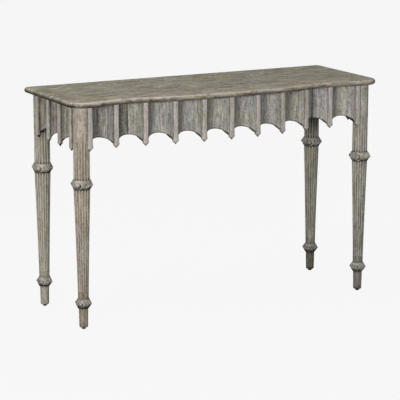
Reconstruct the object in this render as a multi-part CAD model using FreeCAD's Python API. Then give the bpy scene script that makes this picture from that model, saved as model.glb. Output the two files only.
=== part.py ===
"""Pier table: serpentine top on a coved apron with pendant fins, four fluted legs with bossed collars.

Millimetres, +Z up, the front faces -Y. The origin is on the floor under the middle of the top.
"""
import FreeCAD, Part
import math
import os

# Whole table
overall_height = 838.0
top_width = 1286.0
top_depth = 474.0
top_thickness = 20.0
side_overhang = 55.0        # leg axis to the end of the top
back_overhang = 37.0        # back leg axis to the back edge of the top
top_bow = 78.0              # front leg axis to the front edge at the middle

# Serpentine front: distances along X from the leg axis, and reach in front of the front leg axis
ear_inset = 8.0
ear_turn_inset = 73.0
waist_inset = 143.0
bow_turn_inset = 243.0
top_waist = 34.0
top_ear = 58.0
fin_bow = 42.0
fin_waist = -0.5
fin_ear = 19.0
top_corner_radius = 60.0
back_corner_radius = 10.0
bullnose_flat = 0.2
board_count = 4

# Apron
apron_height = 147.0
front_thickness = 50.0
front_cove_depth = 36.0
side_thickness = 38.0
side_cove_depth = 25.0
side_fin_reach = 26.0       # leg axis to the line of the side fins
arch_rise = 24.0
back_rail_thickness = 25.0
back_rail_height = 118.0
section_joint_cove = 1      # coves from each end of the front apron to its joint, counted from zero

# Fins
front_fin_count = 11
side_fin_count = 4
front_fin_inset = 25.5      # leg axis to the middle of an end fin
side_fin_inset = 26.5
fin_width = 21.0
fin_proud = 7.0
fin_chamfer = 3.0
fin_let_in = 2.5
tongue_width = 9.0
tongue_depth = 7.0
pendant_drop = 15.5
pendant_tip = 1.5

# Legs
column_diameter = 59.0
upper_collar_drop = 134.0   # bottom of the apron to the middle of the upper collar
lower_collar_z = 97.0       # floor to the middle of the lower collar
shaft_top_diameter = 60.0
shaft_bottom_diameter = 38.5
shaft_hollow = 0.7          # how far the taper falls inside a straight line, at its middle
foot_top_diameter = 34.5
foot_bottom_diameter = 32.0
foot_round = 5.0
flute_count = 16
flute_rise = 19.0           # bottom of the apron to the top of the flutes
flute_top_radius = 6.0
flute_bottom_radius = 3.4
flute_depth = 2.6
flute_end_depth = 1.0
flute_end_gap = 20.0        # lower collar to the lower end of the flutes

# Collars
collar_height = 36.0
upper_boss_reach = 42.6     # leg axis to the point of a boss
lower_boss_reach = 31.0
boss_tip = 1.2
collar_clearance = 0.1

# Glides
glide_diameter = 15.0
glide_height = 6.0
glide_round = 1.5
nail_diameter = 2.5
nail_length = 16.0

# Inside the frame
rail_width = 45.0
rail_height = 45.0
rail_fin_step = 2           # fins from the middle to each cross rail
block_leg = 62.0
dowel_diameter = 8.0
dowel_length = 40.0
dowel_edge = 35.0           # first dowel to the top of the apron
dowel_pitch = 62.0
dowel_stagger = 28.0        # side dowels sit this much lower than front and back ones
dowel_back_depth = 14.0
dowel_rail_offset = 11.0
screw_diameter = 4.0
screw_head_diameter = 8.0
screw_head_height = 3.0
block_screw_bite = 9.0
block_screw_place = 28.0    # along each leg of a corner block, from its corner
block_top_screw_place = 15.5
top_screw_bite = 12.0
top_screw_pitch = 105.0

# Places worked out from the sizes above
frame_top = overall_height - top_thickness
apron_bottom = frame_top - apron_height
upper_collar_z = apron_bottom - upper_collar_drop
flute_top_z = apron_bottom + flute_rise
leg_x = top_width / 2 - side_overhang
back_leg_y = top_depth / 2 - back_overhang
front_leg_y = top_bow - top_depth / 2
column_radius = column_diameter / 2
waist_x = leg_x - waist_inset
bow_turn_x = leg_x - bow_turn_inset
ear_x = leg_x - ear_inset
ear_turn_x = leg_x - ear_turn_inset
front_pitch = 2 * (leg_x - front_fin_inset) / (front_fin_count - 1)
side_pitch = (back_leg_y - front_leg_y - 2 * side_fin_inset) / (side_fin_count - 1)
front_flat = front_fin_inset - fin_width / 2
side_flat = side_fin_inset - fin_width / 2
front_end_x = leg_x - front_flat
side_line_x = leg_x + side_fin_reach
side_inner_x = side_line_x - side_thickness
back_rail_front = back_leg_y - back_rail_thickness / 2
back_rail_bottom = frame_top - back_rail_height
block_bottom = frame_top - rail_height
seat_radius = max(shaft_top_diameter, column_diameter) / 2
top_reaches = (top_bow, top_waist, top_ear)
fin_reaches = (fin_bow, fin_waist, fin_ear)
far = 4 * overall_height

Vector = FreeCAD.Vector
UP = Vector(0, 0, 1)


def box(x0, x1, y0, y1, z0, z1):
    """Block between two corners."""
    return Part.makeBox(x1 - x0, y1 - y0, z1 - z0, Vector(x0, y0, z0))


def prism(points, rise):
    """Solid raised from a closed outline of points along the vector rise."""
    return Part.Face(Part.makePolygon(points + points[:1])).extrude(rise)


def turned(outline):
    """Solid turned about the Z axis from edges that run from axis to axis."""
    ends = [outline[0].Vertexes[0].Point, outline[-1].Vertexes[-1].Point]
    axis = Part.makeLine(ends[1], ends[0])
    return Part.Face(Part.Wire(outline + [axis])).revolve(Vector(), UP, 360)


def line(a, b):
    return Part.makeLine(a, b)


def arc(a, middle, b):
    return Part.Arc(a, middle, b).toShape()


def ogee(x, start, end, turn, low, high):
    """Height at x of two tangent arcs, level at (start, low) and (end, high), that meet at turn."""
    slope = 2 * math.atan(abs(high - low) / (end - start))
    sign = math.copysign(1, high - low)
    if x <= turn:
        radius = (turn - start) / math.sin(slope)
        return low + sign * (radius - math.sqrt(radius ** 2 - (x - start) ** 2))
    radius = (end - turn) / math.sin(slope)
    return high - sign * (radius - math.sqrt(radius ** 2 - (end - x) ** 2))


def front_line(x, reaches):
    """Y of the serpentine at x: bowed at the middle, hollow at the waist, forward again at the ear."""
    bow, waist, ear = reaches
    across = abs(x)
    if across <= waist_x:
        return front_leg_y - ogee(across, 0, waist_x, bow_turn_x, bow, waist)
    if across <= ear_x:
        return front_leg_y - ogee(across, waist_x, ear_x, ear_turn_x, waist, ear)
    return front_leg_y - ear


def front_edges(reaches, end, shift=0.0):
    """Arcs of the serpentine from -end to +end, moved back by shift."""
    turns = [x for x in (bow_turn_x, waist_x, ear_turn_x, ear_x) if x < end] + [end]
    stops = [-x for x in reversed(turns)] + turns
    edges = []
    for x0, x1 in zip(stops, stops[1:]):
        a, m, b = [Vector(x, front_line(x, reaches) + shift, 0) for x in (x0, (x0 + x1) / 2, x1)]
        straight = abs(x0) >= ear_x and abs(x1) >= ear_x
        edges.append(line(a, b) if straight else arc(a, m, b))
    return edges


def front_slope(x):
    """Angle of the fin line at x in degrees, from the chord across a fin. End fins stand square."""
    if abs(x) > waist_x + fin_width:
        return 0.0
    step = fin_width / 2
    rise = front_line(x + step, fin_reaches) - front_line(x - step, fin_reaches)
    return math.degrees(math.atan2(rise, 2 * step))


def place(x, y, turn):
    return FreeCAD.Placement(Vector(x, y, 0), FreeCAD.Rotation(UP, turn))


# Fin stations: local X runs along the apron, local -Y points outwards
half_front = (front_fin_count - 1) / 2
front_xs = [(i - half_front) * front_pitch for i in range(front_fin_count)]
front_stations = [place(x, front_line(x, fin_reaches), front_slope(x)) for x in front_xs]
side_ys = [front_leg_y + side_fin_inset + i * side_pitch for i in range(side_fin_count)]
left_stations = [place(-side_line_x, y, -90) for y in reversed(side_ys)]
right_stations = [place(side_line_x, y, 90) for y in side_ys]

# Joints of the front apron stand at the middle of a cove, and cross rails behind a fin
joint_fin = front_fin_count - 1 - section_joint_cove
joint_x = (front_xs[joint_fin - 1] + front_xs[joint_fin]) / 2
joint_rise = front_line(front_xs[joint_fin], fin_reaches) - front_line(front_xs[joint_fin - 1], fin_reaches)
joint_turn = math.atan2(joint_rise, front_pitch)
cross_x = rail_fin_step * front_pitch


def fin_shape():
    """Fin on its own station: chamfered strip, tongue behind it, and a pointed pendant below."""
    half, edge = fin_width / 2, fin_width / 2 - fin_chamfer
    front, shoulder = -fin_proud, fin_chamfer - fin_proud
    outline = [(-half, fin_let_in), (-half, shoulder), (-edge, front), (edge, front), (half, shoulder),
               (half, fin_let_in)]
    strip = prism([Vector(x, y, apron_bottom) for x, y in outline], UP * apron_height)
    tongue = box(-tongue_width / 2, tongue_width / 2, fin_let_in, fin_let_in + tongue_depth,
                 apron_bottom, frame_top)
    tip = pendant_tip / 2
    pendant = Part.makeWedge(-half, 0, -fin_proud, -tip, -tip, half, pendant_drop, fin_proud, tip, tip)
    pendant.rotate(Vector(), Vector(1, 0, 0), -90)
    pendant.translate(Vector(0, 0, apron_bottom))
    return strip.fuse([tongue, pendant]).removeSplitter()


def placed(shape, station):
    copy = shape.copy()
    copy.Placement = station.multiply(shape.Placement)
    return copy


def cove_cutter(first, second, depth):
    """Cove and arch between two stations: an upright cylinder in plan, an ellipse in front view."""
    a = first.multVec(Vector(fin_width / 2, 0, 0))
    b = second.multVec(Vector(-fin_width / 2, 0, 0))
    chord = b - a
    middle = (a + b) * 0.5
    half = chord.Length / 2
    inward = UP.cross(chord).normalize()
    radius = (half ** 2 + depth ** 2) / (2 * depth)
    centre = middle - inward * (radius - depth)
    cove = Part.makeCylinder(radius, far, centre - UP * far / 2)
    spring = middle + UP * apron_bottom - inward * radius
    long_axis, short_axis = sorted((half, arch_rise), reverse=True)
    arch_edge = Part.Ellipse(Vector(), long_axis, short_axis).toShape()
    if half < arch_rise:
        arch_edge.rotate(Vector(), UP, 90)
    arch = Part.Face(Part.Wire(arch_edge)).extrude(UP * 4 * radius)
    arch.rotate(Vector(), Vector(1, 0, 0), -90)
    arch.rotate(Vector(), UP, math.degrees(math.atan2(chord.y, chord.x)))
    arch.translate(spring)
    return [cove, arch]


def coves(stations, depth):
    cutters = []
    for first, second in zip(stations, stations[1:]):
        cutters += cove_cutter(first, second, depth)
    return cutters


def cylinder(radius, start, end):
    return Part.makeCylinder(radius, (end - start).Length, start, end - start)


def dowel(start, direction):
    return cylinder(dowel_diameter / 2, start, start + direction * dowel_length)


def screw(head, direction, length):
    """Screw with its head's underside at head, pointing along direction."""
    shank = cylinder(screw_diameter / 2, head, head + direction * length)
    cap = cylinder(screw_head_diameter / 2, head - direction * screw_head_height, head)
    return shank.fuse(cap)


def screw_bore(head, direction, length):
    """Room for a screw: its shank, its head and the way in to the head."""
    shank = cylinder(screw_diameter / 2, head, head + direction * length)
    return shank.fuse(cylinder(screw_head_diameter / 2, head - direction * block_leg, head))


def make_dowels():
    """Dowels of the leg joints, the front apron's joints and the cross rails."""
    pins = []
    for level in (frame_top - dowel_edge, frame_top - dowel_edge - dowel_pitch):
        side_level = level - dowel_stagger
        for side in (-1, 1):
            out = Vector(side, 0, 0)
            for y in (front_leg_y, back_leg_y):
                pins.append(dowel(Vector(side * (front_end_x - dowel_length / 2), y, level), out))
            side_middle = side * (side_line_x - side_thickness / 2)
            for y, back in ((front_leg_y + side_flat, 1), (back_leg_y - side_flat, -1)):
                start = Vector(side_middle, y - back * dowel_length / 2, side_level)
                pins.append(dowel(start, Vector(0, back, 0)))
            x = side * joint_x
            wall = (front_thickness + front_cove_depth) / 2
            middle = Vector(x, front_line(x, fin_reaches) + wall, level)
            along = Vector(math.cos(joint_turn), side * math.sin(joint_turn), 0)
            pins.append(dowel(middle - along * dowel_length / 2, along))
    for side in (-1, 1):
        for offset in (-dowel_rail_offset, dowel_rail_offset):
            x = side * cross_x + offset
            z = frame_top - rail_height / 2
            front_back = front_line(x, fin_reaches) + front_thickness
            pins.append(dowel(Vector(x, front_back - dowel_length / 2, z), Vector(0, 1, 0)))
            pins.append(dowel(Vector(x, back_rail_front + dowel_back_depth, z), Vector(0, -1, 0)))
    return pins


def turned_leg():
    """Leg turned about Z: rounded foot, hollow tapered shaft, straight column, then its flutes."""
    foot_r, ankle_r = foot_bottom_diameter / 2, foot_top_diameter / 2
    shaft_low, shaft_high = lower_collar_z + collar_height / 2, upper_collar_z - collar_height / 2
    low_r, high_r = shaft_bottom_diameter / 2, shaft_top_diameter / 2
    collar_top = upper_collar_z + collar_height / 2
    ankle_z = lower_collar_z - collar_height / 2
    bend = foot_round * (1 - math.sqrt(0.5))
    p = [Vector(0, 0, glide_height), Vector(foot_r - foot_round, 0, glide_height),
         Vector(foot_r - bend, 0, glide_height + bend), Vector(foot_r, 0, glide_height + foot_round),
         Vector(ankle_r, 0, ankle_z), Vector(low_r, 0, ankle_z), Vector(low_r, 0, shaft_low),
         Vector((low_r + high_r) / 2 - shaft_hollow, 0, (shaft_low + shaft_high) / 2),
         Vector(high_r, 0, shaft_high), Vector(seat_radius, 0, shaft_high),
         Vector(seat_radius, 0, collar_top), Vector(column_radius, 0, collar_top),
         Vector(column_radius, 0, frame_top), Vector(0, 0, frame_top)]
    edges = [line(p[0], p[1]), arc(p[1], p[2], p[3]), line(p[3], p[4]), line(p[4], p[5]), line(p[5], p[6]),
             arc(p[6], p[7], p[8])]
    if seat_radius > high_r:
        edges.append(line(p[8], p[9]))
    edges.append(line(p[9], p[10]))
    if seat_radius > column_radius:
        edges.append(line(p[10], p[11]))
    edges += [line(p[11], p[12]), line(p[12], p[13])]
    leg = turned(edges)
    flute_low = shaft_low + flute_end_gap
    spot = (flute_low - shaft_low) / (shaft_high - shaft_low)
    low_surface = low_r + (high_r - low_r) * spot - 4 * shaft_hollow * spot * (1 - spot)
    low_axis = Vector(low_surface + flute_bottom_radius - flute_end_depth, 0, flute_low)
    high_axis = Vector(high_r + flute_top_radius - flute_depth, 0, shaft_high)
    run = high_axis - low_axis
    cone = Part.makeCone(flute_bottom_radius, flute_top_radius, run.Length, low_axis, run)
    column_axis = Vector(column_radius + flute_top_radius - flute_depth, 0, collar_top)
    upper = Part.makeCylinder(flute_top_radius, flute_top_z - collar_top, column_axis)
    cutters = []
    for i in range(flute_count):
        turn = 360.0 * (i + 0.5) / flute_count
        for cutter in (cone, upper):
            copy = cutter.copy()
            copy.rotate(Vector(), UP, turn)
            cutters.append(copy)
    nail_hole = Part.makeCylinder(nail_diameter / 2, nail_length, Vector(0, 0, glide_height))
    return leg.cut(cutters + [nail_hole])


def corner_leg(leg, side, y, back):
    """Leg moved to a corner, with flats for the apron or rail along X and the side apron along Y."""
    x_flat_bottom = apron_bottom if back > 0 else back_rail_bottom
    moved = leg.copy()
    moved.translate(Vector(side * leg_x, y, 0))
    inner_x = side * front_end_x
    x0, x1 = sorted((inner_x, 0))
    y_flat = y + back * side_flat
    y0, y1 = sorted((y_flat, y_flat + back * far))
    x_flat_cut = box(x0, x1, y - far, y + far, x_flat_bottom, frame_top)
    y_flat_cut = box(side * leg_x - far, side * leg_x + far, y0, y1, apron_bottom, frame_top)
    return moved.cut([x_flat_cut, y_flat_cut])


def collar(reach, surface_diameter, bore_diameter):
    """Ring common to four wide cones with their points on the diagonals, with a bore for the leg."""
    half = collar_height / 2
    slope = half / (reach - surface_diameter / 2)
    body = box(-reach, reach, -reach, reach, -half, half)
    for i in range(4):
        turn = math.radians(45 + 90 * i)
        inward = Vector(-math.cos(turn), -math.sin(turn), 0)
        cone = Part.makeCone(boss_tip, boss_tip + 2 * reach * slope, 2 * reach, inward * -reach, inward)
        body = body.common(cone)
    bore_radius = bore_diameter / 2 + collar_clearance
    bore = Part.makeCylinder(bore_radius, 2 * collar_height, Vector(0, 0, -collar_height))
    return body.cut(bore).removeSplitter()


def glide():
    """Flat-bottomed glide with its nail."""
    r, nail = glide_diameter / 2, nail_diameter / 2
    bend = glide_round * (1 - math.sqrt(0.5))
    top = glide_height
    p = [Vector(), Vector(r - glide_round, 0, 0), Vector(r - bend, 0, bend), Vector(r, 0, glide_round),
         Vector(r, 0, top), Vector(nail, 0, top), Vector(nail, 0, top + nail_length),
         Vector(0, 0, top + nail_length)]
    edges = [line(p[0], p[1]), arc(p[1], p[2], p[3])]
    edges += [line(a, b) for a, b in zip(p[3:], p[4:])]
    return turned(edges)


def top_boards():
    """Serpentine top with a full round on the front and ends, cut into edge-glued boards."""
    half, back = top_width / 2, top_depth / 2
    front_round, back_round = top_corner_radius, back_corner_radius
    front_bend, back_bend = [radius * (1 - math.sqrt(0.5)) for radius in (front_round, back_round)]
    ear_y = front_line(half - front_round, top_reaches)
    edges = front_edges(top_reaches, half - front_round)
    for side in (1, -1):
        p = [(half - front_round, ear_y), (half - front_bend, ear_y + front_bend),
             (half, ear_y + front_round), (half, back - back_round),
             (half - back_bend, back - back_bend), (half - back_round, back)]
        p = [Vector(side * x, y, 0) for x, y in p]
        edges += [arc(p[0], p[1], p[2]), line(p[2], p[3]), arc(p[3], p[4], p[5])]
    edges.append(line(Vector(back_round - half, back, 0), Vector(half - back_round, back, 0)))
    outline = Part.Wire(Part.__sortEdges__(edges))
    slab = Part.Face(outline).extrude(UP * top_thickness)
    slab.translate(UP * frame_top)
    rims = []
    for edge in slab.Edges:
        level = abs(edge.Vertexes[0].Z - edge.Vertexes[-1].Z) < top_thickness / 2
        behind = all(abs(v.Y - back) < bullnose_flat for v in edge.Vertexes)
        if level and not behind:
            rims.append(edge)
    slab = slab.makeFillet((top_thickness - bullnose_flat) / 2, rims)
    pitch = top_depth / board_count
    boards = []
    for i in range(board_count):
        y0 = -back + i * pitch
        boards.append(slab.common(box(-half, half, y0, y0 + pitch, frame_top, overall_height)))
    return boards


def front_blank():
    """Serpentine board behind the fin line, from end to end."""
    end = front_end_x
    front = front_edges(fin_reaches, end)
    rear = front_edges(fin_reaches, end, front_thickness)
    ends = []
    for x in (-end, end):
        y = front_line(x, fin_reaches)
        ends.append(line(Vector(x, y, 0), Vector(x, y + front_thickness, 0)))
    outline = Part.Wire(Part.__sortEdges__(front + rear + ends))
    blank = Part.Face(outline).extrude(UP * apron_height)
    blank.translate(UP * apron_bottom)
    return blank


def build():
    nodes = {}
    corners = {"front_left": (-1, front_leg_y, 1), "front_right": (1, front_leg_y, 1),
               "back_left": (-1, back_leg_y, -1), "back_right": (1, back_leg_y, -1)}

    for i, board in enumerate(top_boards()):
        nodes[f"top_board_{i + 1}"] = board

    leg = turned_leg()
    upper = collar(upper_boss_reach, shaft_top_diameter, 2 * seat_radius)
    lower = collar(lower_boss_reach, shaft_bottom_diameter, shaft_bottom_diameter)
    glides = []
    for corner, (side, y, back) in corners.items():
        nodes[f"leg_{corner}"] = corner_leg(leg, side, y, back)
        for name, shape, z in (("upper", upper, upper_collar_z), ("lower", lower, lower_collar_z)):
            ring = shape.copy()
            ring.translate(Vector(side * leg_x, y, z))
            nodes[f"{name}_collar_{corner}"] = ring
        foot = glide()
        foot.translate(Vector(side * leg_x, y, 0))
        glides.append(foot)
    nodes["foot_glides"] = Part.makeCompound(glides)

    fin = fin_shape()
    post = Part.makeCylinder(column_radius, apron_bottom)
    posts = []
    for side, y, _ in corners.values():
        copy = post.copy()
        copy.translate(Vector(side * leg_x, y, 0))
        posts.append(copy)
    fins = {}
    for name, stations in (("front", front_stations), ("left", left_stations), ("right", right_stations)):
        for i, station in enumerate(stations):
            shape = placed(fin, station)
            if i in (0, len(stations) - 1):
                shape = shape.cut(posts)
            fins[f"{name}_fin_{i + 1:02d}"] = shape
    nodes.update(fins)

    pins = make_dowels()
    fin_shapes = list(fins.values())
    front = front_blank().cut(coves(front_stations, front_cove_depth)).cut(fin_shapes + pins)
    spans = {"left": (-leg_x, -joint_x), "centre": (-joint_x, joint_x), "right": (joint_x, leg_x)}
    front_parts = []
    for name, (x0, x1) in spans.items():
        part = front.common(box(x0, x1, -top_depth, top_depth, 0, overall_height))
        nodes[f"front_apron_{name}"] = part
        front_parts.append(part)

    y0, y1 = front_leg_y + side_flat, back_leg_y - side_flat
    for name, side, stations in (("left", -1, left_stations), ("right", 1, right_stations)):
        x0, x1 = sorted((side * side_line_x, side * side_inner_x))
        blank = box(x0, x1, y0, y1, apron_bottom, frame_top)
        nodes[f"side_apron_{name}"] = blank.cut(coves(stations, side_cove_depth)).cut(
            fin_shapes + pins + front_parts)

    back_rail = box(-front_end_x, front_end_x, back_rail_front, back_rail_front + back_rail_thickness,
                    back_rail_bottom, frame_top)
    nodes["back_rail"] = back_rail.cut(pins)
    for corner in corners:
        nodes[f"leg_{corner}"] = nodes[f"leg_{corner}"].cut(pins)
    nodes["dowels"] = Part.makeCompound(pins)

    top_screws, block_screws = [], []
    bite = rail_height + top_screw_bite
    for name, side in (("left", -1), ("right", 1)):
        x = side * cross_x
        wall = front_line(x, fin_reaches) + (front_thickness + front_cove_depth) / 2
        rail = box(x - rail_width / 2, x + rail_width / 2, wall, back_rail_front,
                   block_bottom, frame_top).cut(front_parts)
        middle = (wall + back_rail_front) / 2
        bores = []
        for step in (-1, 0, 1):
            head = Vector(x, middle + step * top_screw_pitch, block_bottom + screw_head_height)
            top_screws.append(screw(head, UP, bite - screw_head_height))
            bores.append(screw_bore(head, UP, bite))
        nodes[f"cross_rail_{name}"] = rail.cut(bores + pins)

    for corner, (side, y, back) in corners.items():
        wall = front_line(front_end_x, fin_reaches) + front_thickness if back > 0 else back_rail_front
        apex = Vector(side * side_inner_x, wall, block_bottom)
        outline = [apex, apex + Vector(-side * block_leg, 0, 0), apex + Vector(0, back * block_leg, 0)]
        body = prism(outline, UP * rail_height).cut(front_parts + [nodes[f"leg_{corner}"]])
        bores = []
        along, level = block_screw_place, rail_height / 2
        depth = block_leg - along - screw_head_diameter / 2 - screw_head_height
        for head, direction in ((apex + Vector(-side * depth, back * along, level), Vector(side, 0, 0)),
                                (apex + Vector(-side * along, back * depth, level), Vector(0, -back, 0))):
            block_screws.append(screw(head, direction, depth + block_screw_bite))
            bores.append(screw_bore(head, direction, depth + block_screw_bite))
        along = block_top_screw_place
        head = apex + Vector(-side * along, back * along, screw_head_height)
        top_screws.append(screw(head, UP, bite - screw_head_height))
        bores.append(screw_bore(head, UP, bite))
        nodes[f"corner_block_{corner}"] = body.cut(bores)

    for name in list(nodes):
        if name.startswith(("top_board", "side_apron", "front_apron", "back_rail")):
            nodes[name] = nodes[name].cut(top_screws + block_screws)
    nodes["top_screws"] = Part.makeCompound(top_screws)
    nodes["corner_block_screws"] = Part.makeCompound(block_screws)
    return nodes


os.makedirs("parts", exist_ok=True)
for node_name, node_shape in build().items():
    node_shape.exportStep(f"parts/{node_name}.step")
    solids = node_shape.Solids
    print(node_name, len(solids), round(sum(s.Volume for s in solids)), node_shape.isValid())
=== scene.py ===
"""Pier table in weathered wood: serpentine top, coved apron with pendant fins, fluted legs, bossed collars.

Metres, +Z up, the front faces -Y. Run as a script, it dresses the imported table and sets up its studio.
"""

import math

import bpy
import numpy as np
from bpy.props import FloatProperty, FloatVectorProperty, IntProperty, PointerProperty
from bpy.types import Operator, Panel, PropertyGroup
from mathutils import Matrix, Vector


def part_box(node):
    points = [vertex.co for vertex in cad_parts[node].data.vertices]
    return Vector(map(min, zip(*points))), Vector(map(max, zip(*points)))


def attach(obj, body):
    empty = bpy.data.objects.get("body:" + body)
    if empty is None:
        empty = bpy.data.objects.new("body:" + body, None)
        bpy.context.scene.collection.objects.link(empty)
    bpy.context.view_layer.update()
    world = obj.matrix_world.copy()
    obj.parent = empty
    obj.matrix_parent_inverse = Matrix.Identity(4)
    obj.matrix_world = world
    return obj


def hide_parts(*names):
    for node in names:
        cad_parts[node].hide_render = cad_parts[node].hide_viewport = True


bl_info = {
    "name": "Pier Table",
    "version": (1, 0, 0),
    "blender": (4, 5, 0),
    "location": "3D View > Sidebar > Pier Table",
    "description": "Dresses a packed pier table in weathered wood",
    "category": "Add Mesh",
}

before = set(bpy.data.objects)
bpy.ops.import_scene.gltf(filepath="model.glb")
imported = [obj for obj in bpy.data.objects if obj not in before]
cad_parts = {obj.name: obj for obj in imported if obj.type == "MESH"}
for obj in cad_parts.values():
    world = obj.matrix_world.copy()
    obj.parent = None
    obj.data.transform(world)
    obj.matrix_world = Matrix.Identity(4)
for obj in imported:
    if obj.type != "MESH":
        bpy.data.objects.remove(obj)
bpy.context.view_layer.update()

MM = 0.001
CORNERS = ("front_left", "front_right", "back_left", "back_right")


def middle(node):
    """Middle of a node's box."""
    low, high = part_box(node)
    return (low + high) / 2


# Places read from the frame
FRAME_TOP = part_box("back_rail")[1].z
TABLE_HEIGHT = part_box("top_board_4")[1].z
APRON_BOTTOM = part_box("side_apron_left")[0].z
PENDANT_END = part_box("front_fin_06")[0].z
LEG_X = middle("upper_collar_front_right").x
FRONT_LEG_Y = middle("upper_collar_front_right").y
BACK_LEG_Y = middle("upper_collar_back_right").y
UPPER_COLLAR_Z = middle("upper_collar_front_left").z
LOWER_COLLAR_Z = middle("lower_collar_front_left").z
COLLAR_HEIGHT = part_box("upper_collar_front_left")[1].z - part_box("upper_collar_front_left")[0].z
FOOT_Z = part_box("leg_front_left")[0].z
HALF_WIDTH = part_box("top_board_2")[1].x
BACK_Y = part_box("top_board_4")[1].y
FRONT_SEAM_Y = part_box("top_board_1")[1].y
APRON_END_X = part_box("back_rail")[1].x
SECTION_JOINT_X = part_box("front_apron_centre")[1].x
BACK_RAIL_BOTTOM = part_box("back_rail")[0].z
SIDE_FLAT_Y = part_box("side_apron_left")[0].y - FRONT_LEG_Y
SIDE_LINE_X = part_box("side_apron_right")[1].x
SIDE_INNER_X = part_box("side_apron_right")[0].x

# Places along the serpentine, inwards from the axis of a front leg
EAR_INSET = 8 * MM
EAR_TURN_INSET = 73 * MM
WAIST_INSET = 143 * MM
BOW_TURN_INSET = 243 * MM

# Grain of each kind of piece: whether it stands upright, the contrast of its tones, and the scales of its
# streaks along and across. Bare timber has the scales alone.
GRAIN = {
    "top": (False, 0.92, 10.5, 46.0),
    "apron": (True, 0.82, 10.0, 125.0),
    "side": (True, 0.72, 10.0, 125.0),
    "fin": (True, 0.7, 12.0, 110.0),
    "leg": (True, 0.7, 14.0, 110.0),
    "collar": (False, 0.9, 30.0, 60.0),
    "rail": (False, 0.8, 9.0, 75.0),
}
TIMBER_GRAIN = (6.0, 90.0)

# Tints of single pieces, which multiply the tones of the finish. Some stand for light: the right apron
# section is lifted as painted light and the left one darker, partly its own tone and partly painted shade;
# the back left leg is lifted as painted light; the back right leg and its collars are darkened as painted
# shade, and the lower collars are darker as painted shade lower down.
BOARD_TINTS = ((1.20, 1.15, 1.10), (1.01, 0.99, 0.93), (1.05, 1.04, 0.95), (1.03, 1.03, 0.93))
SECTION_TINTS_AND_LIGHT = {"left": (0.74, 0.75, 0.81), "centre": (1.05, 1.10, 1.21), "right": (1.16, 1.21, 1.34)}
SIDE_TINT = (0.95, 0.93, 0.93)
ROSY_FIN_TINT = (1.10, 1.06, 1.10)
GREY_FIN_TINT = (1.07, 1.07, 1.11)
ROSY_FINS_X = (-0.5, -0.3)
LEG_TINTS_AND_LIGHT = ((1.26, 1.19, 1.14), (1.14, 1.17, 1.20), (1.32, 1.32, 1.29), (0.86, 0.89, 0.86))
COLLAR_TINTS_AND_LIGHT = ((1.06, 1.06, 1.09), (1.11, 1.17, 1.17), (1.12, 1.13, 1.17), (0.78, 0.82, 0.82))
LOWER_COLLAR_SHADE = 0.84
RAIL_TINT = (0.9, 0.9, 0.88)

# Strength of the lip's wear and of its painted highlight and shade at its left and right ends, the painted
# shade in an apron's creases, and the painted shade on the shaft, foot and column of each leg
LIP_WEAR_AND_LIGHT = (1.05, 0.7)
SECTION_CREASE_SHADE = {"left": 0.45, "centre": 0.0, "right": 0.0}
SIDE_CREASE_SHADE = 0.9
LEG_SHADES = ((0.36, 0.25, 0.0), (0.52, 0.62, 0.0), (0.2, 0.1, 0.0), (0.24, 0.68, 0.6))
SHAFT_SHADE_HEIGHT = 400 * MM
COLUMN_SHADE_HEIGHT = 80 * MM

# Colours of the small fittings
GLIDE_BLACK = (0.006, 0.005, 0.0045, 1.0)
GLIDE_SCUFF = (0.02, 0.018, 0.016, 1.0)
ZINC_DARK = (0.42, 0.42, 0.41, 1.0)
ZINC_PALE = (0.62, 0.61, 0.58, 1.0)

# Studio: levels of the backdrop and floor, and for each lamp its setting, its heading and height in degrees,
# its distance and its size
BACKDROP = 0.922
FLOOR_GLOW = 0.907
FLOOR_SHADOW = 0.03
FLOOR_BOUNCE = 0.10
FLOOR_REACH = 60.0
LAMPS = {
    "key_light": ("key", -47, 11, 8.0, 1.4),
    "fill_light": ("fill", -12, 9, 8.0, 2.0),
    "overhead_light": ("overhead", -80, 62, 3.0, 2.0),
}
SENSOR_WIDTH = 36.0

# Points along the curves of the meshes
NOSE_POINTS = 21
FRONT_POINTS = 361
FLAT_POINTS = 5
COVE_POINTS = 65
TAPER_POINTS = 90
FLUTE_POINTS = 14
COLLAR_POINTS = 288
COLLAR_RINGS = 73
RAIL_RINGS = 40


# Settings

def length(name, millimetres, description):
    """Property for a length."""
    return FloatProperty(name=name, description=description, default=millimetres * MM, unit="LENGTH",
                         subtype="DISTANCE", precision=4)


def number(name, default, description):
    """Property for a plain number, such as a share or a strength of light."""
    return FloatProperty(name=name, description=description, default=default)


def colour(name, default, description):
    """Property for a linear colour."""
    return FloatVectorProperty(name=name, description=description, default=default, size=3, subtype="COLOR",
                               min=0.0, max=1.0)


class TopSizes(PropertyGroup):
    """Sizes of the serpentine top."""
    bow: length("Bow", 78, "Front leg axis to the front edge at the middle")
    waist: length("Waist", 34, "Front leg axis to the front edge at its hollow")
    ear: length("Ear", 58, "Front leg axis to the front edge over the leg")
    front_round: length("Front corner", 60, "Plan radius of the front corners")
    back_round: length("Back corner", 10, "Plan radius of the back corners")


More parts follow.
